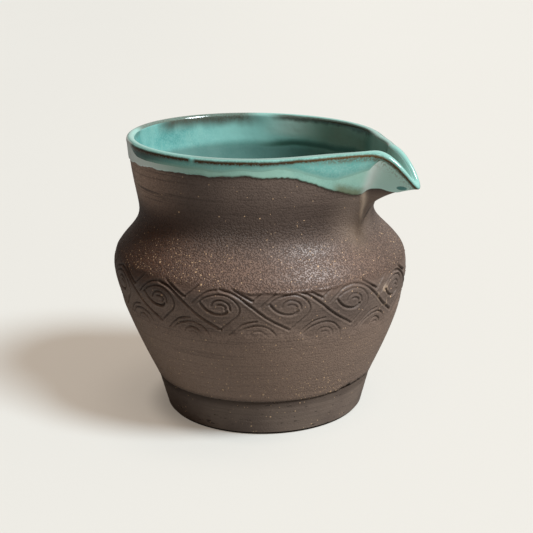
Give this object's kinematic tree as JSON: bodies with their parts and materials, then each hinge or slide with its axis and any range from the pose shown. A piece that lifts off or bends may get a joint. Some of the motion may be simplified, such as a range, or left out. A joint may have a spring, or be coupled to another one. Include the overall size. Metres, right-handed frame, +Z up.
{
  "type": "pour-over pitcher",
  "caption": "Small round stoneware pouring pitcher with a rolled belly, a waisted neck, a pulled beak, a bare clay outside and a turquoise glazed rim and inside.",
  "frame": {"origin": "middle of the flat underside of the foot", "axes": "+Z up out of the mouth, +X towards the beak, +Y to the left of the beak seen from behind the mouth"},
  "size_m": [0.1121, 0.1, 0.095],
  "materials": {
    "foot_clay": "unglazed dark brown stoneware, turned, with fine pale grog",
    "bare_clay": "unglazed dark grey-brown stoneware with pale grog, a faint sheen and a rolled scroll band",
    "liner_glaze": "glossy turquoise glaze, darker where it pools",
    "pale_rim_glaze": "satin pale green-blue glaze, milky where it is thick",
    "turquoise_rim_glaze": "glossy turquoise glaze that breaks to brown on the edge of the lip"
  },
  "bodies": {
    "root": {"foot_disc": "foot_clay", "body_wall": "bare_clay", "liner_glaze": "liner_glaze", "rim_glaze_first_coat": "pale_rim_glaze", "rim_glaze_second_coat": "turquoise_rim_glaze"}
  },
  "joints": []
}
